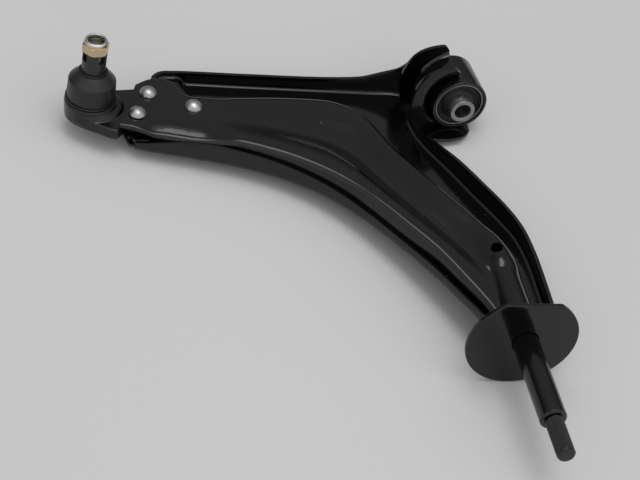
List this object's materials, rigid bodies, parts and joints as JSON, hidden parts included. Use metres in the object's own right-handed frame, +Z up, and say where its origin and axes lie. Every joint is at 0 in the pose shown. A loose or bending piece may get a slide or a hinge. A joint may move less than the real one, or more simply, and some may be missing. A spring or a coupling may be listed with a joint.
{
  "type": "suspension control arm",
  "caption": "Pressed two-shell suspension control arm with a riveted ball joint, a rubber bush in a welded tube, and a threaded pivot pin with a large thrust washer.",
  "frame": {"origin": "centre of the bounding box", "axes": "+Y along the pivot pin's axis towards the bush, +Z up along the ball stud's axis, -X towards the ball joint"},
  "size_m": [0.3668, 0.4232, 0.1128],
  "materials": {
    "black_paint": "gloss black electro-coat paint",
    "washer_steel": "smooth dark grey coating, near-mirror",
    "rivet_steel": "bright bare steel, pressed domes",
    "bare_steel": "plain mid-grey steel",
    "yellow_zinc": "iridescent yellow zinc plating",
    "nylon": "translucent blue-grey nylon",
    "boot_rubber": "satin black moulded rubber",
    "bush_rubber": "matt black moulded rubber",
    "sleeve_plastic": "smooth dark grey plastic"
  },
  "bodies": {
    "arm": {"lower_shell": "black_paint", "upper_shell": "black_paint", "ball_joint_housing": "black_paint", "housing_end_cap": "black_paint", "ball_seat": "nylon", "boot_lower_ring": "bare_steel", "rivet_1": "rivet_steel", "rivet_2": "rivet_steel", "rivet_3": "rivet_steel", "bush_tube": "black_paint", "bush_outer_sleeve": "bare_steel", "bush_rubber": "bush_rubber", "pivot_pin": "black_paint", "thrust_washer": "washer_steel"},
    "boot_neck": {"dust_boot": "boot_rubber", "boot_upper_ring": "bare_steel"},
    "stud": {"ball_stud": "bare_steel", "stud_sleeve": "sleeve_plastic", "lock_nut": "yellow_zinc", "nut_insert": "nylon"},
    "bush_core": {"bush_inner_sleeve": "bare_steel"}
  },
  "joints": [
    {"name": "ball_joint_tilt", "type": "hinge", "parent": "arm", "child": "boot_neck", "pos_m": [-0.16191, 0.1513, 0.0001], "axis": [0, 1, 0], "range_deg": [-20, 20], "deforming": ["dust_boot"]},
    {"name": "ball_stud_turn", "type": "hinge", "parent": "boot_neck", "child": "stud", "pos_m": [-0.16191, 0.1513, 0.0001], "axis": [0, 0, 1], "continuous": true},
    {"name": "bush_twist", "type": "hinge", "parent": "arm", "child": "bush_core", "pos_m": [0.15189, 0.18233, 0.0001], "axis": [-0.0802, 0.9968, 0], "range_deg": [-20, 20], "stiffness_Nm_per_rad": 40}
  ]
}
